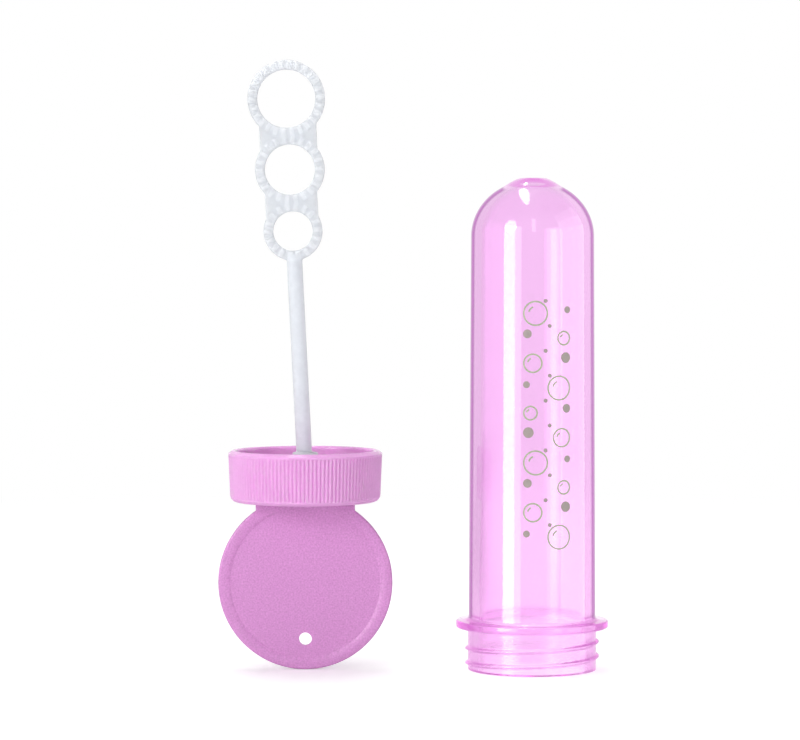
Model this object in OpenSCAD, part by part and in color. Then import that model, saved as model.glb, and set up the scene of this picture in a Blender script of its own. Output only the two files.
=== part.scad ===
// Bubble wand set: a soap tube standing on its mouth and, beside it, the screw cap that closes it.
// The cap lies open side up. It carries the wand above and a round hang tab below.

/* [Tube] */
// Length of the tube, from its mouth to the gate mark on its dome
tube_len = 106.5; // [85:0.5:140]
// Outside diameter of the body beside the support ring
body_d = 27.5; // [25:0.1:28]
// Outside diameter of the body where the dome begins
dome_d = 26.6; // [24:0.1:27.5]
// Height of the dome above the straight body
dome_h = 12.2; // [9:0.1:14]
// Wall of the body
tube_wall = 2.4; // [1.6:0.1:3.2]
// Wall at the tip of the dome
dome_wall = 1.6; // [1:0.1:3]
// Diameter of the gate mark on the dome
gate_d = 6.4; // [4:0.1:9]
// Height of the gate mark above the tip of the dome
gate_h = 0.4; // [0.1:0.05:0.6]

/* [Neck] */
// Diameter over the crests of the screw thread
thread_d = 29.1; // [28.5:0.1:31]
// Height of the screw thread above the neck
thread_h = 0.65; // [0.5:0.05:1]
// Bore of the mouth
mouth_d = 22.4; // [20:0.1:24]
// Length of the neck, from the mouth to the support ring
neck_len = 9.2; // [8.5:0.1:13]
// Diameter of the support ring
ring_d = 33; // [31:0.1:37]
// Thickness of the support ring
ring_t = 1.6; // [1.4:0.1:3]

/* [Cap] */
// Height of the cap
cap_h = 11.1; // [9.5:0.1:14]
// Radial room between the thread crests and the skirt
cap_clear = 0.45; // [0.1:0.05:0.5]
// Wall of the skirt at its rim
skirt_wall = 1.7; // [1.4:0.1:2.4]
// Amount by which the skirt's outside radius shrinks from the rim to the end plate
skirt_draft = 0.4; // [0:0.05:0.6]
// Thickness of the end plate
plate_t = 1.8; // [1.4:0.1:2.4]
// Radius of the edge between the end plate and the skirt
plate_edge_r = 1.5; // [0.8:0.1:2.4]
// Number of grip ribs round the skirt
grip_ribs = 120; // [60:4:140]
// Depth of the grooves between the grip ribs
grip_depth = 0.3; // [0.15:0.05:0.4]
// Height of the plain band between the grip ribs and the rim
rim_band = 1; // [0.6:0.1:2]
// Wall of the socket that holds the wand
socket_wall = 1.1; // [0.8:0.1:2]

/* [Hang tab] */
// Diameter of the hang tab
tab_d = 37.8; // [30:0.1:46]
// Thickness of the hang tab at its rim
tab_t = 2.4; // [1.8:0.1:3.6]
// Width of the raised rim
tab_rim_w = 2.7; // [1.5:0.1:4]
// Depth of the recess inside the rim, on each face
recess_depth = 0.45; // [0.2:0.05:0.6]
// Width of the bridge between the tab and the cap
bridge_w = 21.5; // [14:0.1:26]
// Depth to which the tab's circle runs into the end plate
tab_sink = 1.3; // [0.4:0.1:1.3]
// Diameter of the cord hole
hole_d = 2.8; // [2:0.1:4.5]
// Distance from the tab's centre down to the cord hole
hole_drop = 12.3; // [8:0.1:13]

/* [Seal washer] */
// Thickness of the seal washer
seal_t = 1; // [0.6:0.1:1.6]
// Radial play of the washer in the cap
seal_play = 0.3; // [0.1:0.05:0.6]
// Amount by which the washer reaches inside the bore of the mouth
seal_lap = 1; // [0.5:0.1:2]

/* [Wand stem] */
// Diameter of the peg that is pressed into the cap's socket
peg_d = 3.4; // [2.6:0.1:4.4]
// Length of the peg
peg_len = 6; // [3:0.1:7]
// Thickness of the collar that stops the peg
collar_h = 1; // [0.6:0.1:1.6]
// Distance from the cap's rim down to the top of the collar
collar_drop = 0.4; // [0:0.1:1.5]
// Diameter of the stem
stem_d = 3.4; // [2.4:0.1:4.4]
// Length of the stem, from the collar to the lowest ring
stem_len = 41.5; // [25:0.1:44]
// Lean of the stem to the left, in degrees
lean = 2.85; // [0:0.05:4]
// Depth below the collar at which the leaning stem would cross the axis of the peg
lean_depth = 4.4; // [0:0.1:6]

/* [Wand head] */
// Outside diameter of the lowest ring
low_ring_d = 12.8; // [11:0.1:14.5]
// Outside diameter of the middle ring
mid_ring_d = 15.1; // [13:0.1:16.5]
// Outside diameter of the top ring
top_ring_d = 16.8; // [15:0.1:18.5]
// Width of the band of each ring
band_w = 2.15; // [1.8:0.05:2.6]
// Thickness of the rings
head_t = 1.7; // [1.2:0.1:2.4]
// Amount by which neighbouring rings overlap
ring_lap = 0.65; // [0.3:0.05:1.2]
// Width of the web between the lowest and the middle ring
low_web_w = 11.3; // [8:0.1:11.6]
// Width of the web between the middle and the top ring
top_web_w = 12.4; // [9:0.1:13.4]
// Number of ribs on the lowest ring
low_ribs = 18; // [12:2:20]
// Number of ribs on the middle ring
mid_ribs = 22; // [14:2:24]
// Number of ribs on the top ring
top_ribs = 26; // [16:2:28]
// Width of a rib
rib_w = 0.8; // [0.5:0.05:0.9]
// Height of a rib above the face of its ring
rib_h = 0.35; // [0.2:0.05:0.5]

/* [Arrangement] */
// Distance between the axis of the cap and the axis of the tube
axis_gap = 49.2; // [40:0.1:70]

/* [Hidden] */
$fn = 96;
overrun = 1;             // length by which a cut runs past the face that it opens
arc_steps = 6;           // straight stretches in a small rounding
dome_steps = 28;         // straight stretches in a quarter of the dome

// Tube
lip_r = 0.25;            // rounding of the outer edge of the mouth
lip_bevel = 0.4;         // bevel of the inner edge of the mouth
ring_edge_r = 0.35;      // rounding of the support ring's edges
ring_root_r = 0.9;       // fillet between the support ring and the body
gate_bevel = 0.25;       // bevel round the gate mark
neck_r = thread_d/2 - thread_h;
mouth_r = mouth_d/2;
ring_r = ring_d/2;
ring_top = neck_len + ring_t;
body_r = body_d/2;
dome_r = dome_d/2;
dome_z = tube_len - gate_h - dome_h;
gate_r = gate_d/2;
gate_angle = acos(gate_r/dome_r);

// Cap
rim_round = 0.45;        // rounding of the rim
plate_band = 0.1;        // plain height between the edge of the end plate and the grip ribs
crest_drop = 0.05;       // depth of the rib crests below the plain bands
crest_share = 0.42;      // share of the rib pitch at the crest
foot_share = 0.72;       // share of the rib pitch at the foot
seal_rest = 0.02;        // gap between the washer and the end plate
peg_bite = 0.02;         // amount by which the socket is bored smaller than the peg, on the radius
skirt_r = thread_d/2 + cap_clear;
rim_r = skirt_r + skirt_wall;
base_r = rim_r - skirt_draft;
grip_low = plate_edge_r + plate_band;
grip_high = cap_h - rim_band;
core_r = (skirt_r + base_r - grip_depth)/2;
peg_r = peg_d/2;
socket_r = peg_r + socket_wall;
socket_top = cap_h - collar_drop - collar_h;

// Hang tab
tab_edge_r = 0.5;        // rounding of the tab's outer edges
recess_slope = 0.65;     // width of the sloping step between the rim and the recess
tab_r = tab_d/2;
recess_r = tab_r - tab_rim_w;
cap_z = tab_d - tab_sink;

// Wand
peg_bevel = 0.3;         // bevel at the tip of the peg
collar_edge = 0.25;      // bevel of the collar
stem_tip_h = 0.9;        // length of the tapered end of the stem
stem_tip_share = 0.6;    // share of the stem's radius that is left at its end
stem_bury = 1.3;         // length of the stem that runs into the lowest ring
band_edge_r = 0.45;      // rounding of the edges of a ring
web_step = 0.1;          // depth of the webs below the faces of the rings
rib_in = 0.06;           // distance from a ring's bore to its ribs
rib_out = 0.08;          // distance from a ring's outer edge to its ribs
rib_end_r = 0.55;        // rounding of the ends of a rib
rib_steps = 3;           // straight stretches in the rounding of a rib
low_r = low_ring_d/2;
mid_r = mid_ring_d/2;
top_r = top_ring_d/2;
low_z = stem_len + low_r;
mid_z = low_z + low_r + mid_r - ring_lap;
top_z = mid_z + mid_r + top_r - ring_lap;
RINGS = [[low_z, low_r, low_ribs], [mid_z, mid_r, mid_ribs], [top_z, top_r, top_ribs]];
WEBS = [[low_z, low_r, mid_z, mid_r, low_web_w], [mid_z, mid_r, top_z, top_r, top_web_w]];

// Arrangement: the set is centred on the origin and stands on the plane through it
left_reach = max(tab_r, rim_r);
right_reach = max(ring_r, body_r);
set_w = left_reach + axis_gap + right_reach;
cap_x = left_reach - set_w/2;
tube_x = set_w/2 - right_reach;

// Points along a quarter or less of an oval, from one angle to another
function oval(centre, reach, from, to, steps) =
    [for (i = [0:steps], a = from + (to - from)*i/steps) centre + [reach.x*cos(a), reach.y*sin(a)]];

function arc(centre, radius, from, to, steps) = oval(centre, [radius, radius], from, to, steps);

// Outside radius of the skirt at a height above the end plate
function skirt_at(z) = base_r + (rim_r - base_r)*(z - plate_edge_r)/(cap_h - plate_edge_r);

// Tube: a moulded blank with a screw neck, a support ring and a domed end

module tube_profile() {
    polygon(concat(
        [[mouth_r + lip_bevel, 0]],
        arc([neck_r - lip_r, lip_r], lip_r, -90, 0, arc_steps),
        [[neck_r, neck_len]],
        arc([ring_r - ring_edge_r, neck_len + ring_edge_r], ring_edge_r, -90, 0, arc_steps),
        arc([ring_r - ring_edge_r, ring_top - ring_edge_r], ring_edge_r, 0, 90, arc_steps),
        arc([body_r + ring_root_r, ring_top + ring_root_r], ring_root_r, 270, 180, arc_steps),
        oval([0, dome_z], [dome_r, dome_h], 0, gate_angle, dome_steps),
        [[gate_r, tube_len - gate_bevel], [gate_r - gate_bevel, tube_len], [0, tube_len]],
        oval([0, dome_z], [dome_r - tube_wall, dome_h - dome_wall], 90, 0, dome_steps),
        [[mouth_r, lip_bevel]]
    ));
}

module tube() {
    color([0.95, 0.72, 0.97, 0.5])
        translate([tube_x, 0, 0])
            rotate_extrude() tube_profile();
}

// Cap: one moulding of end plate, ribbed skirt, wand socket and hang tab

module cap_profile() {
    polygon(concat(
        [[0, 0]],
        arc([base_r - plate_edge_r, plate_edge_r], plate_edge_r, -90, 0, arc_steps),
        [
            [skirt_at(grip_low), grip_low],
            [skirt_at(grip_low) - grip_depth, grip_low],
            [skirt_at(grip_high) - grip_depth, grip_high],
            [skirt_at(grip_high), grip_high],
        ],
        arc([rim_r - rim_round, cap_h - rim_round], rim_round, 0, 90, arc_steps),
        arc([skirt_r + rim_round, cap_h - rim_round], rim_round, 90, 180, arc_steps),
        [
            [skirt_r, plate_t],
            [socket_r, plate_t],
            [socket_r, socket_top],
            [peg_r - peg_bite, socket_top],
            [peg_r - peg_bite, socket_top - peg_len],
            [0, socket_top - peg_len],
        ]
    ));
}

// Cross-section of the grip: a wheel with one trapezoid tooth for each rib
module grip_section() {
    pitch = 360/grip_ribs;
    tooth = [[core_r, -foot_share/2], [rim_r + overrun, -crest_share/2],
             [rim_r + overrun, crest_share/2], [core_r, foot_share/2]];
    polygon([for (i = [0:grip_ribs - 1], p = tooth)
        p[0]*[cos((i + p[1])*pitch), sin((i + p[1])*pitch)]]);
}

// Ring that trims the grip to the slope of the skirt
module grip_band() {
    rotate_extrude()
        polygon([
            [skirt_at(grip_low - plate_band) - crest_drop, grip_low - plate_band],
            [skirt_at(grip_high + plate_band) - crest_drop, grip_high + plate_band],
            [(skirt_r + core_r)/2, grip_high + plate_band],
            [(skirt_r + core_r)/2, grip_low - plate_band],
        ]);
}

module grip() {
    intersection() {
        linear_extrude(cap_h) grip_section();
        grip_band();
    }
}

// Disc of the tab with rounded edges, before its recesses are cut
module tab_profile() {
    half = tab_t/2;
    polygon(concat(
        [[0, -half]],
        arc([tab_r - tab_edge_r, tab_edge_r - half], tab_edge_r, -90, 0, arc_steps),
        arc([tab_r - tab_edge_r, half - tab_edge_r], tab_edge_r, 0, 90, arc_steps),
        [[0, half]]
    ));
}

module recess() {
    translate([0, 0, tab_t/2 - recess_depth])
        cylinder(r1 = recess_r, r2 = recess_r + recess_slope, h = recess_depth);
}

// Tab with its centre at the origin and its faces square to Y
module hang_tab() {
    bridge_low = sqrt(tab_r*tab_r - bridge_w*bridge_w/4) - tab_edge_r;
    difference() {
        union() {
            rotate([90, 0, 0]) rotate_extrude() tab_profile();
            translate([-bridge_w/2, -tab_t/2, bridge_low])
                cube([bridge_w, tab_t, tab_r - bridge_low]);
        }
        for (turn = [90, -90]) rotate([turn, 0, 0]) recess();
        translate([0, tab_t/2 + overrun, -hole_drop])
            rotate([90, 0, 0]) cylinder(d = hole_d, h = tab_t + 2*overrun);
    }
}

module cap() {
    color([0.90, 0.62, 0.88])
        translate([cap_x, 0, 0]) {
            translate([0, 0, cap_z]) {
                rotate_extrude() cap_profile();
                grip();
            }
            translate([0, 0, tab_r]) hang_tab();
        }
}

// Seal washer: foam ring on the end plate that the mouth of the tube is screwed against

module seal_washer() {
    color([0.96, 0.96, 0.94])
        translate([cap_x, 0, cap_z + plate_t + seal_rest])
            difference() {
                cylinder(r = skirt_r - seal_play, h = seal_t);
                translate([0, 0, -overrun])
                    cylinder(r = mouth_r - seal_lap, h = seal_t + 2*overrun);
            }
}

// Wand: one moulding of peg, collar, stem and three ribbed rings

module foot_profile() {
    polygon([
        [0, -peg_len],
        [peg_r - peg_bevel, -peg_len],
        [peg_r, peg_bevel - peg_len],
        [peg_r, 0],
        [socket_r, 0],
        [socket_r, collar_h - collar_edge],
        [socket_r - collar_edge, collar_h],
        [0, collar_h],
    ]);
}

module stem() {
    straight = stem_len + stem_bury - stem_tip_h;
    translate([0, 0, -collar_h/2]) cylinder(d = stem_d, h = straight + collar_h/2);
    translate([0, 0, straight])
        cylinder(d1 = stem_d, d2 = stem_d*stem_tip_share, h = stem_tip_h);
}

// Outline with rounded corners, from one radius to another and to both sides of the middle plane
module rounded_outline(inner, outer, half, corner_r, steps) {
    polygon(concat(
        arc([inner + corner_r, corner_r - half], corner_r, 180, 270, steps),
        arc([outer - corner_r, corner_r - half], corner_r, -90, 0, steps),
        arc([outer - corner_r, half - corner_r], corner_r, 0, 90, steps),
        arc([inner + corner_r, half - corner_r], corner_r, 90, 180, steps)
    ));
}

// Bar across the band of a ring, proud of both its faces
module rib(outer) {
    rotate([0, -90, 0])
        linear_extrude(rib_w, center = true)
            rounded_outline(outer - band_w + rib_in, outer - rib_out, head_t/2 + rib_h,
                            rib_end_r, rib_steps);
}

module ribbed_ring(outer, ribs) {
    rotate([90, 0, 0])
        rotate_extrude() rounded_outline(outer - band_w, outer, head_t/2, band_edge_r, arc_steps);
    for (i = [0:ribs - 1]) rotate([0, (i + 1/2)*360/ribs, 0]) rib(outer);
}

// Plate between two rings, cut back to the middle of their bands
module web(low, low_outer, high, high_outer, width) {
    web_t = head_t - 2*web_step;
    difference() {
        translate([-width/2, -web_t/2, low]) cube([width, web_t, high - low]);
        for (ring = [[low, low_outer], [high, high_outer]])
            translate([0, web_t/2 + overrun, ring[0]])
                rotate([90, 0, 0]) cylinder(r = ring[1] - band_w/2, h = web_t + 2*overrun);
    }
}

module wand() {
    color([0.94, 0.95, 0.98])
        translate([cap_x, 0, cap_z + socket_top]) {
            rotate_extrude() foot_profile();
            translate([0, 0, collar_h - lean_depth]) rotate([0, -lean, 0]) translate([0, 0, lean_depth]) {
                stem();
                for (r = RINGS) translate([0, 0, r[0]]) ribbed_ring(r[1], r[2]);
                for (w = WEBS) web(w[0], w[1], w[2], w[3], w[4]);
            }
        }
}

tube();
cap();
seal_washer();
wand();
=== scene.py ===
"""Bubble wand set: a clear tube, and its ribbed screw cap with hang tab, seal washer and wand."""

import math

import bmesh
import bpy
from mathutils import Matrix, Vector


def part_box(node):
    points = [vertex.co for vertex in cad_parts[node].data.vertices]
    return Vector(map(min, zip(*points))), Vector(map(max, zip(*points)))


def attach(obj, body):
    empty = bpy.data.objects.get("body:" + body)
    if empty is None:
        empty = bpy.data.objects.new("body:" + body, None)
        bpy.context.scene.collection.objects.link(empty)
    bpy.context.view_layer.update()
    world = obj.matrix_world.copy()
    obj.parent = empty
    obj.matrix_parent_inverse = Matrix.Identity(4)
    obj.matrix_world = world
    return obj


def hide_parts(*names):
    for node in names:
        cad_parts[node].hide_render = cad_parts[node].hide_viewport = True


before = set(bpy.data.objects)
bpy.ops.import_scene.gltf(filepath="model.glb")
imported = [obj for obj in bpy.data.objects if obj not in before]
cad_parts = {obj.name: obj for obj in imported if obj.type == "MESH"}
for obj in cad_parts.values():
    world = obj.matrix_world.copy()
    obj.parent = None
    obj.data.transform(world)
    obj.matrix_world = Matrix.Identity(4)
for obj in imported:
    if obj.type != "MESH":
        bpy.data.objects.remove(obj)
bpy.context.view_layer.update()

MM = 0.001
ON_AXIS = 1e-9
SHARP_DEG = 40
EDGE_STEPS, ROOT_STEPS = 6, 4

# Places that come from the frame
tube_low, tube_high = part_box("tube")
cap_low, cap_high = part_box("cap")
seal_low, seal_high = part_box("seal_washer")
TUBE_X = (tube_low.x + tube_high.x) / 2
CAP_X = (seal_low.x + seal_high.x) / 2
TUBE_LEN = tube_high.z
RING_R = (tube_high.x - tube_low.x) / 2
TAB_R = (cap_high.x - cap_low.x) / 2
RIM_R = (cap_high.y - cap_low.y) / 2
RIM_Z = cap_high.z

# Tube
BODY_R = 13.75 * MM
DOME_R = 13.3 * MM
DOME_H = 12.2 * MM
TUBE_WALL = 2.4 * MM
DOME_WALL = 1.6 * MM
MOUTH_R = 11.2 * MM
NECK_R = 13.9 * MM
NECK_LEN = 9.2 * MM
RING_T = 1.6 * MM
RING_EDGE_R = 0.35 * MM
RING_ROOT_R = 0.9 * MM
RING_ROOT_STEPS = 8
NECK_ROOT = 0.3 * MM
LIP_R = 0.12 * MM
LIP_BEVEL = 0.15 * MM
GATE_FLAT_R = 2.7 * MM
GATE_FOOT_R = 6.8 * MM
GATE_H = 0.4 * MM
GATE_STEPS = 14
DOME_STEPS, BORE_STEPS = 44, 48
TUBE_SEGMENTS = 224
PAINTED_EDGE_SHADE = "painted_edge_shade"
NECK_SHARE, NECK_ROUGH = "neck_share", 0.14
EDGE_FADE_Z, EDGE_FADE_H = 103.5 * MM, 3 * MM
RING_TOP = NECK_LEN + RING_T
DOME_Z = TUBE_LEN - GATE_H - DOME_H

# Screw threads, right-handed
THREAD_PITCH = 3.18 * MM
THREAD_H = 0.65 * MM
THREAD_HALF_W = 0.55 * MM
THREAD_CREST_SHARE = 0.2
THREAD_ROW = 0.1 * MM
THREAD_TURNS = 1.62
THREAD_FADE = 0.06
THREAD_LOW_Z = 1.2 * MM
THREAD_START = math.radians(152)

# Print on the tube: rising bubbles
PRINT_TURN = math.radians(11.7)
PRINT_LOW, PRINT_ROW = 29.8 * MM, 5.3 * MM
PRINT_ROWS = 10
PRINT_HALF_W = 5.3 * MM
BUBBLE_R = (2.7 * MM, 2.1 * MM, 1.6 * MM)
BUBBLE_LINE = 0.34 * MM
GLINT_SHARE = 0.6
GLINT_FROM_DEG, GLINT_TO_DEG = 112, 168
DOT_R = (0.75 * MM, 1.15 * MM, 0.95 * MM)
SPECK_R = 0.45 * MM
INK_LOW, INK_HIGH = 0.01 * MM, 0.03 * MM
INK_STEP = 0.4 * MM
INK_FEWEST_STEPS = 12

# Cap
CAP_H = 11.1 * MM
PLATE_T = 1.8 * MM
PLATE_EDGE_R = 1.5 * MM
PLATE_EDGE_STEPS = 16
SKIRT_DRAFT = 0.4 * MM
SKIRT_IN_R = 15.0 * MM
RIM_ROUND = 0.6 * MM
RIM_BAND = 1.0 * MM
RIM_POLISH = "rim_polish"
RIM_EDGE_H, RIM_EDGE_TILT = 0.6 * MM, math.radians(52)
RIM_EDGE_STOPS = (0, 0.08, 0.92, 1)
POLISH = -0.52
GRIP_RIBS = 120
GRIP_DEPTH = 0.3 * MM
GRIP_FADE = 0.35 * MM
GRIP_FROM = 0.75 * MM
GRIP_CREST_SHARE = 0.22
GRIP_FOOT_SHARE = 0.95
GRIP_STEPS = 8
GRIP_FADE_STEPS = 5
SOCKET_R = 2.8 * MM
SOCKET_TOP = 9.7 * MM
SOCKET_ROOT_R = 0.5 * MM
PEG_R = 1.7 * MM
PEG_LEN = 6.0 * MM
INNER_THREAD_H = 0.5 * MM
INNER_THREAD_LOW = 4.2 * MM
CAP_Z = RIM_Z - CAP_H
BASE_R = RIM_R - SKIRT_DRAFT

# Hang tab
TAB_T = 2.4 * MM
TAB_EDGE_R = 0.5 * MM
TAB_EDGE_STEPS = 5
TAB_RIM_W = 2.7 * MM
RECESS_DEPTH = 0.45 * MM
RECESS_SLOPE = 2.2 * MM
RECESS_CURVE = 3.5
RECESS_STEP = 0.05
RECESS_OVERSHOOT = 1.02
BRIDGE_W = 21.5 * MM
BRIDGE_SINK = 0.9 * MM
HOLE_R = 1.4 * MM
HOLE_DROP = 12.3 * MM
TAB_SEGMENTS = 256
TAB_SHARP_DEG = 35
DRILL_SEGMENTS = 64

# Wand
WAND_VOXEL = 0.15 * MM
WAND_SMOOTH_STEPS, WAND_SMOOTH_SHARE = 8, 0.5
# Painted light on the wand: a lighter colour on the rib crests and along the stem
PAINTED_CREST_LIGHT = "painted_crest_light"
PAINTED_LIGHT_SHARE = 0.24
STEM_PAINTED_LIGHT = 0.65
HEAD_LEN = 43.5 * MM
CREST_FROM, CREST_H = 0.82 * MM, 0.26 * MM

# Seal washer
SEAL_EDGE_R = 0.2 * MM
SEAL_IN_R = 10.2 * MM
SEAL_SEGMENTS = 128


def oval(cx, cz, reach_x, reach_z, start, end, steps):
    """Points (radius, height) along an oval between two angles in degrees."""
    turns = [math.radians(start + (end - start) * i / steps) for i in range(steps + 1)]
    return [(cx + reach_x * math.cos(t), cz + reach_z * math.sin(t)) for t in turns]


def arc(cx, cz, radius, start, end, steps):
    """Points (radius, height) along an arc between two angles in degrees."""
    return oval(cx, cz, radius, radius, start, end, steps)


def heights(low, high, pitch):
    """Evenly spaced numbers from low to high, about pitch apart."""
    steps = max(1, round(abs(high - low) / pitch))
    return [low + (high - low) * i / steps for i in range(steps + 1)]


def ease(x):
    """Smooth step from 0 to 1."""
    x = min(1.0, max(0.0, x))
    return x * x * (3 - 2 * x)


def smooth(mesh, sharp_deg=None):
    """Smooths every face, with sharp creases above an angle if one is given."""
    for face in mesh.polygons:
        face.use_smooth = True
    if sharp_deg:
        mesh.set_sharp_from_angle(angle=math.radians(sharp_deg))


def mark(piece, attribute, value):
    """Stores a number for each vertex, which a function works out."""
    shares = piece.data.attributes.new(attribute, "FLOAT", "POINT")
    for vertex, share in zip(piece.data.vertices, shares.data):
        share.value = value(vertex)


def new_object(name, bm, sharp_deg=SHARP_DEG):
    """Turns a bmesh into an object with smooth faces and sharp creases."""
    bmesh.ops.recalc_face_normals(bm, faces=bm.faces)
    mesh = bpy.data.meshes.new(name)
    bm.to_mesh(mesh)
    bm.free()
    smooth(mesh, sharp_deg)
    piece = bpy.data.objects.new(name, mesh)
    bpy.context.scene.collection.objects.link(piece)
    return piece


def lathe(name, sections, x, segments, closed=False, place=None):
    """Revolves a profile about the vertical line through x.

    Each section is a list of (radius, height) points and a function that gives the change of
    radius at an angle and a height, or None.
    """
    bm = bmesh.new()
    rows = []
    for points, change in sections:
        for radius, z in points:
            if radius < ON_AXIS:
                rows.append([bm.verts.new((x, 0, z))])
                continue
            row = []
            for i in range(segments):
                t = 2 * math.pi * i / segments
                r = radius + (change(t, z) if change else 0)
                row.append(bm.verts.new((x + r * math.cos(t), r * math.sin(t), z)))
            rows.append(row)
    pairs = list(zip(rows, rows[1:]))
    if closed:
        pairs.append((rows[-1], rows[0]))
    for low, high in pairs:
        for i in range(segments):
            corners = [low[i % len(low)], low[(i + 1) % segments % len(low)],
                       high[(i + 1) % segments % len(high)], high[i % len(high)]]
            bm.faces.new(list(dict.fromkeys(corners)))
    if place:
        bm.transform(place)
    return new_object(name, bm)


def bead(low_z, height):
    """Change of radius along one screw thread that starts at low_z."""
    def change(t, z):
        part = (t - THREAD_START) / (2 * math.pi) % 1
        best = 0
        for turn in range(math.ceil(THREAD_TURNS)):
            along = part + turn
            if along > THREAD_TURNS:
                continue
            fade = ease(min(along, THREAD_TURNS - along) / THREAD_FADE)
            away = abs(z - low_z - along * THREAD_PITCH) / THREAD_HALF_W
            rise = ease((1 - away) / (1 - THREAD_CREST_SHARE))
            best = max(best, fade * rise)
        return height * best
    return change


def apply_modifiers(piece):
    """Replaces the piece's mesh by the result of its modifiers."""
    graph = bpy.context.evaluated_depsgraph_get()
    result = bpy.data.meshes.new_from_object(piece.evaluated_get(graph))
    piece.modifiers.clear()
    piece.data = result


def cut(piece, tool):
    """Cuts a tool out of a piece and removes the tool."""
    step = piece.modifiers.new("cut", "BOOLEAN")
    step.operation = "DIFFERENCE"
    step.solver = "EXACT"
    step.object = tool
    apply_modifiers(piece)
    bpy.data.objects.remove(tool)


def body_r(z):
    """Outside radius of the tube's body at a height."""
    low = RING_TOP + RING_ROOT_R
    return BODY_R + (DOME_R - BODY_R) * (z - low) / (DOME_Z - low)


def skirt_r(z):
    """Outside radius of the cap's skirt at a height above its end plate."""
    return BASE_R + SKIRT_DRAFT * (z - PLATE_EDGE_R) / (CAP_H - PLATE_EDGE_R)


# Materials

MOULDED_IOR, CLEAR_IOR = 1.49, 1.57
GLOSS_SCALE = 650
# Face-on tint, and the painted shade that darkens the glass towards grazing edges
EDGE_PALE, EDGE_PAINTED_SHADE = (1, 0.888, 1), (0.25, 0.001, 0.27)
EDGE_FROM, EDGE_FULL = 0.615, 0.695
TINT, TINT_DENSITY = (0.86, 0.0, 0.81), 83
SHADOW_TINT = (0.99, 0.965, 0.99)
TRAPPED_BOUNCES = 3
CLEAR_GLOSS_SCALE, CLEAR_ROUGH = 260, (0.03, 0.07)
CLEAR_WAVE_SCALE, CLEAR_WAVE_H = 180, 0.008 * MM
FOAM_DARK, FOAM_LIGHT = (0.74, 0.74, 0.71), (0.86, 0.86, 0.84)
FOAM_SCALE, FOAM_ROUGH, FOAM_PIT_H = 2600, (0.65, 0.85), 0.05 * MM
INK_SCALE, INK_ROUGH, INK_WAVE_H = 1500, (0.3, 0.5), 0.004 * MM


def new_material(name):
    """Empty material with its nodes and links."""
    material = bpy.data.materials.new(name)
    material.use_nodes = True
    return material, material.node_tree.nodes, material.node_tree.links


def noise(nodes, links, scale, detail=3.0):
    """Noise over the object's own coordinates, at a scale in features per metre."""
    where = nodes.new("ShaderNodeTexCoord")
    texture = nodes.new("ShaderNodeTexNoise")
    texture.inputs["Scale"].default_value = scale
    texture.inputs["Detail"].default_value = detail
    links.new(where.outputs["Object"], texture.inputs["Vector"])
    return texture.outputs["Fac"]


def spread(nodes, links, value, low, high, start=0.3, end=0.7, kind="LINEAR"):
    """Maps a range of a value, by default the middle of a noise, to a range of numbers."""
    node = nodes.new("ShaderNodeMapRange")
    node.interpolation_type = kind
    node.inputs["From Min"].default_value = start
    node.inputs["From Max"].default_value = end
    node.inputs["To Min"].default_value = low
    node.inputs["To Max"].default_value = high
    links.new(value, node.inputs["Value"])
    return node.outputs["Result"]


def combine(nodes, links, operation, first, second):
    """Works out one number from two, each a node's output or a plain number."""
    node = nodes.new("ShaderNodeMath")
    node.operation = operation
    for value, socket in zip((first, second), node.inputs):
        if isinstance(value, bpy.types.NodeSocket):
            links.new(value, socket)
        else:
            socket.default_value = value
    return node.outputs["Value"]


def two_tone(nodes, links, value, first, second, start=0.3, end=0.7):
    """Maps a range of a value, by default the middle of a noise, to a blend of two colours."""
    ramp = nodes.new("ShaderNodeValToRGB")
    for element, position, colour in zip(ramp.color_ramp.elements, (start, end), (first, second)):
        element.position = position
        element.color = (*colour, 1)
    links.new(value, ramp.inputs["Fac"])
    return ramp.outputs["Color"]


def bump(nodes, links, value, distance):
    """Tilts the surface as if a value between 0 and 1 raised it by a share of the distance."""
    node = nodes.new("ShaderNodeBump")
    node.inputs["Distance"].default_value = distance
    node.inputs["Strength"].default_value = 1.0
    links.new(value, node.inputs["Height"])
    return node.outputs["Normal"]


def marked(nodes, attribute):
    """Number that is stored on the vertices under a name."""
    place = nodes.new("ShaderNodeAttribute")
    place.attribute_name = attribute
    return place.outputs["Fac"]


def by_place(nodes, links, attribute, factor, value):
    """Adds a share of a vertex attribute to a number that a node gives."""
    share = combine(nodes, links, "MULTIPLY", marked(nodes, attribute), factor)
    return combine(nodes, links, "ADD", share, value)


def mix_shaders(nodes, links, factor, first, second):
    """Blends two shaders by a factor from 0 to 1."""
    node = nodes.new("ShaderNodeMixShader")
    links.new(factor, node.inputs["Fac"])
    links.new(first, node.inputs[1])
    links.new(second, node.inputs[2])
    return node.outputs["Shader"]


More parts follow.
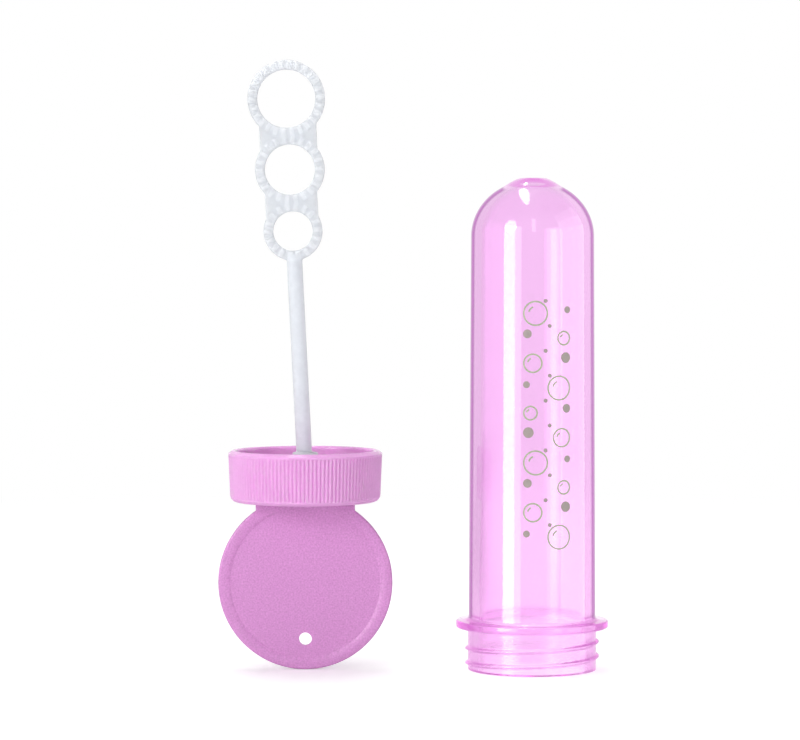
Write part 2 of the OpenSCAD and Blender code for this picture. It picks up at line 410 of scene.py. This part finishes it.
def moulded_plastic(name, dark, light, rough, subsurface, depth, grain, speckle=900, specular=0.5,
                    mottling=(0.3, 0.7), painted_light=None, shinier=None):
    """Opaque moulded plastic: mottling, uneven gloss and a fine grain.

    An attribute passed for painted light makes the colour lighter where it is 1. Where the one named
    by shinier is 1, the surface is polished.
    """
    material, nodes, links = new_material(name)
    shader = nodes["Principled BSDF"]
    mottle = spread(nodes, links, noise(nodes, links, speckle), *mottling)
    # Painted light: the colour is lighter where the marked attribute is 1
    if painted_light:
        mottle = by_place(nodes, links, painted_light, PAINTED_LIGHT_SHARE, mottle)
    gloss = spread(nodes, links, noise(nodes, links, GLOSS_SCALE), *rough)
    if shinier:
        gloss = by_place(nodes, links, shinier, POLISH, gloss)
    links.new(two_tone(nodes, links, mottle, dark, light), shader.inputs["Base Color"])
    links.new(gloss, shader.inputs["Roughness"])
    fine = noise(nodes, links, 2 * speckle, detail=2.0)
    links.new(bump(nodes, links, fine, grain), shader.inputs["Normal"])
    shader.inputs["IOR"].default_value = MOULDED_IOR
    shader.inputs["Specular IOR Level"].default_value = specular
    shader.inputs["Subsurface Weight"].default_value = subsurface
    shader.inputs["Subsurface Radius"].default_value = depth
    shader.inputs["Subsurface Scale"].default_value = 1.0
    return material


def clear_plastic(name):
    """Tinted clear plastic: polished, with painted shade that darkens its colour at grazing edges.

    It lets lamps shine through, and light that is caught in its rims goes straight on.
    """
    material, nodes, links = new_material(name)
    shader = nodes["Principled BSDF"]
    shader.inputs["Transmission Weight"].default_value = 1.0
    shader.inputs["IOR"].default_value = CLEAR_IOR
    slant = nodes.new("ShaderNodeLayerWeight")
    slant.inputs["Blend"].default_value = 0.5
    # Painted shade: the colour darkens where the surface turns edge-on
    slope = combine(nodes, links, "MULTIPLY", slant.outputs["Facing"], marked(nodes, PAINTED_EDGE_SHADE))
    edge = two_tone(nodes, links, slope, EDGE_PALE, EDGE_PAINTED_SHADE, EDGE_FROM, EDGE_FULL)
    links.new(edge, shader.inputs["Base Color"])
    gloss = spread(nodes, links, noise(nodes, links, CLEAR_GLOSS_SCALE), *CLEAR_ROUGH)
    links.new(by_place(nodes, links, NECK_SHARE, NECK_ROUGH, gloss), shader.inputs["Roughness"])
    wave = noise(nodes, links, CLEAR_WAVE_SCALE, detail=2.0)
    links.new(bump(nodes, links, wave, CLEAR_WAVE_H), shader.inputs["Normal"])
    output = nodes["Material Output"]
    tint = nodes.new("ShaderNodeVolumeAbsorption")
    tint.inputs["Color"].default_value = (*TINT, 1)
    tint.inputs["Density"].default_value = TINT_DENSITY
    links.new(tint.outputs["Volume"], output.inputs["Volume"])
    path = nodes.new("ShaderNodeLightPath")
    open_to_lamps = nodes.new("ShaderNodeBsdfTransparent")
    open_to_lamps.inputs["Color"].default_value = (*SHADOW_TINT, 1)
    trapped = combine(nodes, links, "GREATER_THAN", path.outputs["Ray Depth"], TRAPPED_BOUNCES)
    freed = combine(nodes, links, "MAXIMUM", path.outputs["Is Shadow Ray"], trapped)
    surface = mix_shaders(nodes, links, freed, shader.outputs["BSDF"], open_to_lamps.outputs["BSDF"])
    links.new(surface, output.inputs["Surface"])
    return material


def foam(name):
    """Closed-cell foam: off-white, dull and finely pitted."""
    material, nodes, links = new_material(name)
    shader = nodes["Principled BSDF"]
    cells = noise(nodes, links, FOAM_SCALE, detail=4.0)
    links.new(two_tone(nodes, links, cells, FOAM_DARK, FOAM_LIGHT), shader.inputs["Base Color"])
    links.new(spread(nodes, links, cells, *FOAM_ROUGH), shader.inputs["Roughness"])
    links.new(bump(nodes, links, cells, FOAM_PIT_H), shader.inputs["Normal"])
    return material


def ink(name, dark, light):
    """Screen-printed ink: nearly even, with a slightly uneven film."""
    material, nodes, links = new_material(name)
    shader = nodes["Principled BSDF"]
    film = noise(nodes, links, INK_SCALE, detail=4.0)
    links.new(two_tone(nodes, links, film, dark, light), shader.inputs["Base Color"])
    links.new(spread(nodes, links, film, *INK_ROUGH), shader.inputs["Roughness"])
    links.new(bump(nodes, links, film, INK_WAVE_H), shader.inputs["Normal"])
    return material


tube_plastic = clear_plastic("clear_pink_plastic")
# Cap and tab are one pink plastic in two copies: the cap's is painted lighter, as painted light and sheen on
# its ribs, rim and inside; the tab's is darker, as painted shade
cap_plastic_lit_copy = moulded_plastic(
    "pink_plastic_ribbed_lit_copy", dark=(0.715, 0.363, 0.668), light=(0.755, 0.388, 0.708), rough=(0.55, 0.65),
    subsurface=0.5, depth=(2 * MM, 1 * MM, 2 * MM), grain=0.006 * MM, speckle=1800, specular=0.28,
    shinier=RIM_POLISH)
tab_plastic_shaded_copy = moulded_plastic(
    "pink_plastic_grained_shaded_copy", dark=(0.505, 0.20, 0.466), light=(0.668, 0.292, 0.624), rough=(0.40, 0.52),
    subsurface=0.2, depth=(1.5 * MM, 0.8 * MM, 1.5 * MM), grain=0.02 * MM, speckle=2600)
wand_plastic = moulded_plastic(
    "white_plastic", dark=(0.525, 0.556, 0.614), light=(0.63, 0.667, 0.732), rough=(0.55, 0.65),
    subsurface=1.0, depth=(10 * MM, 10 * MM, 10 * MM), grain=0.002 * MM, specular=0.1,
    mottling=(0.3, 0.44), painted_light=PAINTED_CREST_LIGHT)
seal_foam = foam("white_foam")
grey_ink = ink("warm_grey_ink", dark=(0.31, 0.265, 0.25), light=(0.35, 0.30, 0.28))
sage_ink = ink("sage_ink", dark=(0.345, 0.39, 0.255), light=(0.385, 0.43, 0.285))


def finish_piece(piece, material, body, nodes=()):
    """Gives a piece its material and body, and hides the frame's nodes that it stands in for."""
    piece.data.materials.clear()
    piece.data.materials.append(material)
    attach(piece, body)
    if nodes:
        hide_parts(*nodes)


# Tube with its screw thread, one closed wall

def dome_z(r):
    """Height of the dome's outside at a radius."""
    return DOME_Z + DOME_H * math.sqrt(1 - (r / DOME_R) ** 2)


gate_rise = TUBE_LEN - dome_z(GATE_FLAT_R)
gate = [(r, dome_z(r) + gate_rise * (1 - ease((r - GATE_FLAT_R) / (GATE_FOOT_R - GATE_FLAT_R))))
        for r in heights(GATE_FLAT_R, GATE_FOOT_R, (GATE_FOOT_R - GATE_FLAT_R) / GATE_STEPS)]
foot_deg = math.degrees(math.acos(GATE_FOOT_R / DOME_R))
outside = (
    [(0, TUBE_LEN), (GATE_FLAT_R / 2, TUBE_LEN)] + gate[:-1]
    + oval(0, DOME_Z, DOME_R, DOME_H, foot_deg, 0, DOME_STEPS)
    + arc(BODY_R + RING_ROOT_R, RING_TOP + RING_ROOT_R, RING_ROOT_R, 180, 270, RING_ROOT_STEPS)
    + arc(RING_R - RING_EDGE_R, RING_TOP - RING_EDGE_R, RING_EDGE_R, 90, 0, EDGE_STEPS)
    + arc(RING_R - RING_EDGE_R, NECK_LEN + RING_EDGE_R, RING_EDGE_R, 0, -90, EDGE_STEPS)
    + arc(NECK_R + NECK_ROOT, NECK_LEN - NECK_ROOT, NECK_ROOT, 90, 180, ROOT_STEPS)
)
neck = [(NECK_R, z) for z in heights(NECK_LEN - 2 * NECK_ROOT, LIP_R + THREAD_ROW, THREAD_ROW)]
lip = arc(NECK_R - LIP_R, LIP_R, LIP_R, 0, -90, EDGE_STEPS) + [(MOUTH_R + LIP_BEVEL, 0)]
bore = (
    [(MOUTH_R, LIP_BEVEL)]
    + oval(0, DOME_Z, DOME_R - TUBE_WALL, DOME_H - DOME_WALL, 0, 90, BORE_STEPS)
)
tube = lathe("tube_wall", [(outside, None), (neck, bead(THREAD_LOW_Z, THREAD_H)), (lip, None), (bore, None)],
             TUBE_X, TUBE_SEGMENTS)
bore_start = 1 + (len(outside + neck + lip) - 1) * TUBE_SEGMENTS


def painted_edge_shade(vertex):
    """Share of painted edge shade: 1 on the outside of the body, fading out towards the gate, and 0 below
    the body and in the bore.
    """
    if vertex.co.z < RING_TOP + RING_ROOT_R / 2 or vertex.index >= bore_start:
        return 0
    return 1 - ease((vertex.co.z - EDGE_FADE_Z) / EDGE_FADE_H)


mark(tube, PAINTED_EDGE_SHADE, painted_edge_shade)
mark(tube, NECK_SHARE, lambda vertex: 1 - ease((vertex.co.z - NECK_LEN) / RING_T))
finish_piece(tube, tube_plastic, "tube", ["tube"])

# Light that dull surfaces scatter passes the clear wall freely
tube.visible_diffuse = False


# Print: outlined bubbles with glints in one ink, dots in the other

def patch(bm, u, v, inner, outer, start=0, end=360):
    """Adds a flat ring, disc or arc about (u, v), in small faces that can follow the wall."""
    whole = end - start == 360
    steps = max(INK_FEWEST_STEPS, round(math.radians(end - start) * outer / INK_STEP))
    rows = []
    for radius in heights(inner, outer, INK_STEP):
        count = 1 if radius == 0 else steps + (0 if whole else 1)
        turns = [math.radians(start + (end - start) * i / steps) for i in range(count)]
        rows.append([bm.verts.new((u + radius * math.cos(t), v + radius * math.sin(t), INK_LOW))
                     for t in turns])
    for low, high in zip(rows, rows[1:]):
        for i in range(steps):
            j = (i + 1) % len(high)
            corners = [low[i % len(low)], low[j % len(low)], high[j], high[i]]
            bm.faces.new(list(dict.fromkeys(corners)))


def wrap_print(name, bm):
    """Thickens flat patches to a film of ink and wraps them round the tube's body."""
    film = bmesh.ops.extrude_face_region(bm, geom=bm.faces[:])
    for vertex in film["geom"]:
        if isinstance(vertex, bmesh.types.BMVert):
            vertex.co.z = INK_HIGH
    for vertex in bm.verts:
        u, z, lift = vertex.co
        turn = PRINT_TURN + u / body_r(z)
        r = body_r(z) + lift
        vertex.co = (TUBE_X + r * math.sin(turn), -r * math.cos(turn), z)
    return new_object(name, bm)


outlines, dots = bmesh.new(), bmesh.new()
for i in range(PRINT_ROWS):
    side = 1 - 2 * (i % 2)
    v = PRINT_LOW + i * PRINT_ROW
    bubble_r = BUBBLE_R[i % len(BUBBLE_R)]
    u = side * (PRINT_HALF_W - bubble_r)
    patch(outlines, u, v, bubble_r - BUBBLE_LINE, bubble_r)
    glint = bubble_r * GLINT_SHARE
    patch(outlines, u, v, glint - BUBBLE_LINE, glint, GLINT_FROM_DEG, GLINT_TO_DEG)
    dot_r = DOT_R[i % len(DOT_R)]
    patch(dots, side * (dot_r - PRINT_HALF_W), v + dot_r, 0, dot_r)
    patch(dots, side * SPECK_R, v + PRINT_ROW / 2, 0, SPECK_R)
finish_piece(wrap_print("print_outlines", outlines), sage_ink, "tube")
finish_piece(wrap_print("print_dots", dots), grey_ink, "tube")


# Cap: end plate, ribbed skirt, inner thread and wand socket

def grip(t, z):
    """Change of radius over the grip ribs."""
    phase = abs(t / (2 * math.pi) * GRIP_RIBS % 1 - 0.5) * 2
    groove = ease((1 - phase - GRIP_CREST_SHARE) / (GRIP_FOOT_SHARE - GRIP_CREST_SHARE))
    above = z - CAP_Z - GRIP_FROM
    below = RIM_Z - RIM_BAND - z
    return -GRIP_DEPTH * groove * ease(min(above, below) / GRIP_FADE)


plate = [(0, CAP_Z)] + arc(BASE_R - PLATE_EDGE_R, CAP_Z + PLATE_EDGE_R, PLATE_EDGE_R, -90, 0,
                          PLATE_EDGE_STEPS)
grip_low = CAP_Z + PLATE_EDGE_R
grip_high = RIM_Z - RIM_BAND
skirt = [(skirt_r(z - CAP_Z), z) for z in
         heights(grip_low, grip_low + GRIP_FADE, GRIP_FADE / GRIP_FADE_STEPS)[1:]
         + heights(grip_high - GRIP_FADE, grip_high, GRIP_FADE / GRIP_FADE_STEPS)]
rim_edge_in = RIM_EDGE_H * math.tan(RIM_EDGE_TILT)
rim = ([(RIM_R - rim_edge_in * s, RIM_Z - RIM_EDGE_H * (1 - s)) for s in RIM_EDGE_STOPS]
       + arc(SKIRT_IN_R + RIM_ROUND, RIM_Z - RIM_ROUND, RIM_ROUND, 90, 180, EDGE_STEPS))
floor_z = CAP_Z + PLATE_T
socket_z = CAP_Z + SOCKET_TOP
wall = [(SKIRT_IN_R, z) for z in
        heights(RIM_Z - RIM_ROUND - THREAD_ROW, CAP_Z + INNER_THREAD_LOW - THREAD_HALF_W, 2 * THREAD_ROW)]
bottom = (
    [(SKIRT_IN_R, floor_z), (SOCKET_R + SOCKET_ROOT_R, floor_z)]
    + arc(SOCKET_R + SOCKET_ROOT_R, floor_z + SOCKET_ROOT_R, SOCKET_ROOT_R, 270, 180, ROOT_STEPS)
    + [(SOCKET_R, socket_z), (PEG_R, socket_z), (PEG_R, socket_z - PEG_LEN), (0, socket_z - PEG_LEN)]
)
cap = lathe("cap_shell", [(plate, grip), (skirt, grip), (rim, None),
                          (wall, bead(CAP_Z + INNER_THREAD_LOW, -INNER_THREAD_H)), (bottom, None)],
            CAP_X, GRIP_RIBS * GRIP_STEPS)
polish_z = RIM_Z - 2 * RIM_EDGE_H
mark(cap, RIM_POLISH, lambda vertex: ease((vertex.co.z - polish_z) / RIM_EDGE_H))
finish_piece(cap, cap_plastic_lit_copy, "cap_and_wand", ["cap"])


# Hang tab: a disc on edge with a bridge up to the end plate, recessed on both faces

half_t = TAB_T / 2
web_t = half_t - RECESS_DEPTH
recess_r = TAB_R - TAB_RIM_W
bridge_top = CAP_Z + BRIDGE_SINK
bridge_deg = math.degrees(math.acos(BRIDGE_W / 2 / TAB_R))
outline = (arc(0, TAB_R, TAB_R, bridge_deg, -180 - bridge_deg, TAB_SEGMENTS)
           + [(-BRIDGE_W / 2, bridge_top), (BRIDGE_W / 2, bridge_top)])
bm = bmesh.new()
front = bm.faces.new([bm.verts.new((CAP_X + x, -half_t, z)) for x, z in outline])
back = bmesh.ops.extrude_face_region(bm, geom=[front], use_keep_orig=True)
back_verts = [v for v in back["geom"] if isinstance(v, bmesh.types.BMVert)]
bmesh.ops.translate(bm, vec=(0, TAB_T, 0), verts=back_verts)
rims = [e for e in bm.edges if abs(e.verts[0].co.y - e.verts[1].co.y) < half_t]
bmesh.ops.bevel(bm, geom=rims, offset=TAB_EDGE_R, segments=TAB_EDGE_STEPS, profile=0.5, affect="EDGES")
tab = new_object("hang_tab", bm, TAB_SHARP_DEG)

centre = Matrix.Translation((CAP_X, 0, TAB_R))
floor_rows = [(r, web_t) for r in heights(0, recess_r, TAB_RIM_W / 2)]
slope_h = RECESS_DEPTH * RECESS_OVERSHOOT
slope = [(recess_r + RECESS_SLOPE * s, web_t + slope_h * (1 - (1 - s) ** RECESS_CURVE))
         for s in heights(RECESS_STEP, 1, RECESS_STEP)]
lid = [(recess_r + RECESS_SLOPE, TAB_T), (0, TAB_T)]
for side in (1, -1):
    to_face = centre @ Matrix.Rotation(math.radians(90 * side), 4, "X")
    cut(tab, lathe("recess", [(floor_rows + slope + lid, None)], 0, TAB_SEGMENTS, place=to_face))
drill = [(0, -TAB_T), (HOLE_R, -TAB_T), (HOLE_R, TAB_T), (0, TAB_T)]
to_hole = centre @ Matrix.Translation((0, 0, -HOLE_DROP)) @ Matrix.Rotation(math.radians(90), 4, "X")
cut(tab, lathe("drill", [(drill, None)], 0, DRILL_SEGMENTS, place=to_hole))
smooth(tab.data, TAB_SHARP_DEG)
even = tab.modifiers.new("even", "WEIGHTED_NORMAL")
even.keep_sharp = True
apply_modifiers(tab)
finish_piece(tab, tab_plastic_shaded_copy, "cap_and_wand")


# Seal washer with softened edges

seal_r = (seal_high.x - seal_low.x) / 2
seal = lathe("seal_ring", [(
    arc(seal_r - SEAL_EDGE_R, seal_high.z - SEAL_EDGE_R, SEAL_EDGE_R, 90, 0, ROOT_STEPS)
    + arc(seal_r - SEAL_EDGE_R, seal_low.z + SEAL_EDGE_R, SEAL_EDGE_R, 0, -90, ROOT_STEPS)
    + arc(SEAL_IN_R + SEAL_EDGE_R, seal_low.z + SEAL_EDGE_R, SEAL_EDGE_R, 270, 180, ROOT_STEPS)
    + arc(SEAL_IN_R + SEAL_EDGE_R, seal_high.z - SEAL_EDGE_R, SEAL_EDGE_R, 180, 90, ROOT_STEPS), None)],
    CAP_X, SEAL_SEGMENTS, closed=True)
finish_piece(seal, seal_foam, "seal", ["seal_washer"])


# Wand: the solid's shape with the soft edges of a moulding

wand = bpy.data.objects.new("wand_moulding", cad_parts["wand"].data.copy())
bpy.context.scene.collection.objects.link(wand)
skin = wand.modifiers.new("skin", "REMESH")
skin.mode = "VOXEL"
skin.voxel_size = WAND_VOXEL
soften = wand.modifiers.new("soften", "SMOOTH")
soften.factor = WAND_SMOOTH_SHARE
soften.iterations = WAND_SMOOTH_STEPS
apply_modifiers(wand)
smooth(wand.data)
head_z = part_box("wand")[1].z - HEAD_LEN


def crest_painted_light(vertex):
    """Share of painted light: 1 on the crests of the head's ribs, 0 between them, and one value all along
    the stem.
    """
    if vertex.co.z <= head_z:
        return STEM_PAINTED_LIGHT
    return ease((abs(vertex.co.y) - CREST_FROM) / CREST_H)


mark(wand, PAINTED_CREST_LIGHT, crest_painted_light)
finish_piece(wand, wand_plastic, "cap_and_wand", ["wand"])


# Stage: floor, world, lamps and camera

FLOOR_R = 4.0
FLOOR_DROP = 0.05 * MM
FLOOR_SEGMENTS = 96
FLOOR_COLOUR = (0.82, 0.82, 0.82)
FLOOR_LIFT = 0.35
FLOOR_NEAR, FLOOR_FAR = 0.22, 0.5
FLOOR_SHADE, BACKDROP_SHADE = 0.3, 0.1
SHADE_FROM, SHADE_FULL = 0.04, 0.14
LEFT_FROM, LEFT_FULL = -0.08, -0.6
AMBIENT = 0.36
ZENITH_LIGHT, ZENITH_FROM, ZENITH_FULL = 0.7, 0.4, 0.95

scene = bpy.context.scene
scene.view_settings.view_transform = "Standard"

# Light has to find its way through two walls and along the thread
scene.cycles.max_bounces = 64
scene.cycles.glossy_bounces = 48
scene.cycles.transmission_bounces = 48

# Noise that is uncorrelated between pixels, which is removed more cleanly from small pale shapes
scene.cycles.sampling_pattern = "TABULATED_SOBOL"


def seen_rays(nodes, links):
    """1 for rays that carry the picture: from the camera, mirrored or refracted."""
    path = nodes.new("ShaderNodeLightPath")
    camera_ray, glossy_ray = path.outputs["Is Camera Ray"], path.outputs["Is Glossy Ray"]
    mirrored = combine(nodes, links, "MAXIMUM", camera_ray, glossy_ray)
    return combine(nodes, links, "MAXIMUM", mirrored, path.outputs["Is Transmission Ray"])


def to_left(nodes, links, bearing):
    """Share, 0 to 1, by which a direction points to the left."""
    split = nodes.new("ShaderNodeSeparateXYZ")
    links.new(bearing, split.inputs["Vector"])
    return spread(nodes, links, split.outputs["X"], 0, 1, LEFT_FROM, LEFT_FULL, "SMOOTHSTEP")


def emission(nodes, strength):
    """White glow of a given strength."""
    node = nodes.new("ShaderNodeEmission")
    node.inputs["Strength"].default_value = strength
    return node.outputs["Emission"]


def vector_math(nodes, links, operation, first):
    """Node that works on a vector."""
    node = nodes.new("ShaderNodeVectorMath")
    node.operation = operation
    links.new(first, node.inputs[0])
    return node


def floor_material():
    """Matt white floor that keeps the shadows near the object and fades to plain white around it.

    Seen through the tube it carries painted shade, a little darker to the left.
    """
    material, nodes, links = new_material("pale_floor")
    nodes.remove(nodes["Principled BSDF"])
    matt = nodes.new("ShaderNodeBsdfDiffuse")
    matt.inputs["Color"].default_value = (*FLOOR_COLOUR, 1)
    lift, dark, white = (emission(nodes, strength) for strength in (FLOOR_LIFT, 0, 1))
    seen = seen_rays(nodes, links)
    near = nodes.new("ShaderNodeAddShader")
    links.new(matt.outputs["BSDF"], near.inputs[0])
    links.new(mix_shaders(nodes, links, seen, dark, lift), near.inputs[1])
    where = nodes.new("ShaderNodeTexCoord").outputs["Object"]
    length = vector_math(nodes, links, "LENGTH", where).outputs["Value"]
    away = spread(nodes, links, length, 0, 1, FLOOR_NEAR, FLOOR_FAR, "SMOOTHSTEP")
    faded = combine(nodes, links, "MULTIPLY", away, seen)
    whole = mix_shaders(nodes, links, faded, near.outputs["Shader"], white)
    from_tube = vector_math(nodes, links, "SUBTRACT", where)
    from_tube.inputs[1].default_value = (TUBE_X, 0, 0)
    bearing = vector_math(nodes, links, "NORMALIZE", from_tube.outputs["Vector"]).outputs["Vector"]
    reach = vector_math(nodes, links, "LENGTH", from_tube.outputs["Vector"]).outputs["Value"]
    beyond = spread(nodes, links, reach, 0, 1, SHADE_FROM, SHADE_FULL, "SMOOTHSTEP")
    by_distance = spread(nodes, links, away, FLOOR_SHADE, BACKDROP_SHADE, 0, 1)
    depth = combine(nodes, links, "MULTIPLY", beyond, by_distance)
    left = combine(nodes, links, "MULTIPLY", to_left(nodes, links, bearing), depth)
    path = nodes.new("ShaderNodeLightPath")
    through = combine(nodes, links, "MULTIPLY", left, path.outputs["Is Transmission Ray"])
    shaded = mix_shaders(nodes, links, through, whole, dark)
    links.new(shaded, nodes["Material Output"].inputs["Surface"])
    return material


bm = bmesh.new()
bmesh.ops.create_circle(bm, cap_ends=True, segments=FLOOR_SEGMENTS, radius=FLOOR_R)
floor = new_object("floor", bm)
floor.data.materials.append(floor_material())
floor.location.z = -FLOOR_DROP
floor.visible_glossy = False

# World: white to the camera, a little darker overhead and to the left where mirrored or refracted
world = bpy.data.worlds.new("studio")
scene.world = world
world.use_nodes = True
nodes, links = world.node_tree.nodes, world.node_tree.links
ambient = nodes["Background"]
ambient.inputs["Color"].default_value = (1, 1, 1, 1)
ambient.inputs["Strength"].default_value = AMBIENT
backdrop = nodes.new("ShaderNodeBackground")
backdrop.inputs["Color"].default_value = (1, 1, 1, 1)
bearing = nodes.new("ShaderNodeTexCoord").outputs["Generated"]
split = nodes.new("ShaderNodeSeparateXYZ")
links.new(bearing, split.inputs["Vector"])
above = spread(nodes, links, split.outputs["Z"], 1, ZENITH_LIGHT, ZENITH_FROM, ZENITH_FULL, "SMOOTHSTEP")
left = spread(nodes, links, to_left(nodes, links, bearing), 1, 1 - BACKDROP_SHADE, 0, 1)
path = nodes.new("ShaderNodeLightPath")
mirrored = combine(nodes, links, "MULTIPLY", above, left)
strength = combine(nodes, links, "MAXIMUM", mirrored, path.outputs["Is Camera Ray"])
links.new(strength, backdrop.inputs["Strength"])
studio = mix_shaders(nodes, links, seen_rays(nodes, links), ambient.outputs[0], backdrop.outputs[0])
links.new(studio, nodes["World Output"].inputs["Surface"])

MIDDLE = Vector((0, 0, TUBE_LEN / 2))
KEY_AWAY, FILL_AWAY = 0.80, 0.90


def around(azimuth, elevation, distance):
    """Point round the object: azimuth 0 is the camera's side, positive to the right."""
    a, e = math.radians(azimuth), math.radians(elevation)
    return MIDDLE + distance * Vector((math.sin(a) * math.cos(e), -math.cos(a) * math.cos(e), math.sin(e)))


def softbox(name, place, aim, width, height, radiance, shape="RECTANGLE", lights=True, mirrored=True):
    """Area lamp that lights dull surfaces, is mirrored in smooth ones, or both."""
    lamp = bpy.data.lights.new(name, "AREA")
    lamp.shape = shape
    lamp.size, lamp.size_y = width, height
    lamp.energy = radiance * math.pi * width * height * (math.pi / 4 if shape == "ELLIPSE" else 1)
    holder = bpy.data.objects.new(name, lamp)
    holder.location = place
    holder.rotation_euler = (aim - place).to_track_quat("-Z", "Y").to_euler()
    holder.visible_camera = False
    holder.visible_transmission = False
    holder.visible_diffuse = lights
    holder.visible_glossy = mirrored
    scene.collection.objects.link(holder)


# Each lamp: name, place, aim, width, height and radiance
softbox("key_strip", around(-44.5, 6, KEY_AWAY), MIDDLE, 0.32, 0.52, 8.0)
softbox("key_top", around(-44.5, 23, KEY_AWAY), MIDDLE, 0.32, 0.36, 8.0, "ELLIPSE", lights=False)
softbox("key_side", around(-27.2, 6, KEY_AWAY), MIDDLE, 0.17, 0.50, 3.0, lights=False)
softbox("overhead", Vector((-0.10, 0.12, 0.88)), Vector((0.02, 0.12, 0.10)), 0.74, 0.16, 9.0, "ELLIPSE")
softbox("overhead_fill", Vector((-0.02, 0.12, 0.90)), Vector((0.0, 0.12, 0.10)), 0.72, 0.30, 2.2,
        mirrored=False)
softbox("front_top", around(2, 26, FILL_AWAY), MIDDLE, 0.10, 0.45, 2.5, lights=False)
softbox("right_strip", around(38, 3, FILL_AWAY), MIDDLE, 0.19, 0.50, 1.4)
softbox("right_strip_soft", around(37, 3, FILL_AWAY), MIDDLE, 0.36, 0.55, 1.2)
for step in range(3):
    softbox(f"right_fill_{step + 1}", around(80, 3 + 4 * step, FILL_AWAY), MIDDLE,
            0.98, 0.50 + 0.35 * step, 0.70, lights=step == 0)
softbox("front_fill", around(-8, 14, FILL_AWAY), MIDDLE, 0.60, 0.60, 1.1, mirrored=False)
softbox("back_fill", around(170, 24, FILL_AWAY), MIDDLE, 0.70, 0.60, 0.6, mirrored=False)

# Camera: the photograph's level, distance and frame
PICTURE_W = 800
CENTRE_COLUMN, CENTRE_ROW = 400, 370
FLOOR_ROW, TOP_ROW, EYE_ROW = 668.8, 178, 250
CAP_COLUMN, TUBE_COLUMN = 305.3, 532.2
CAMERA_DISTANCE = 0.70
CAMERA_NEAREST = 0.01
FOCAL_ROUNDS = 4
pixel = (TUBE_X - CAP_X) / (TUBE_COLUMN - CAP_COLUMN)
eye_x = CAP_X + (CENTRE_COLUMN - CAP_COLUMN) * pixel
eye_z = (FLOOR_ROW - EYE_ROW) * pixel
to_floor = math.atan2(eye_z, CAMERA_DISTANCE)
to_top = math.atan2(eye_z - TUBE_LEN, CAMERA_DISTANCE)
focal = CAMERA_DISTANCE / pixel
for _ in range(FOCAL_ROUNDS):
    pitch = to_floor - math.atan((FLOOR_ROW - CENTRE_ROW) / focal)
    focal = (FLOOR_ROW - TOP_ROW) / (math.tan(to_floor - pitch) - math.tan(to_top - pitch))
camera = bpy.data.objects.new("camera", bpy.data.cameras.new("camera"))
camera.location = (eye_x, -CAMERA_DISTANCE, eye_z)
camera.rotation_euler = (math.radians(90) - pitch, 0, 0)
camera.data.lens = camera.data.sensor_width * focal / PICTURE_W
camera.data.clip_start = CAMERA_NEAREST
scene.collection.objects.link(camera)
scene.camera = camera
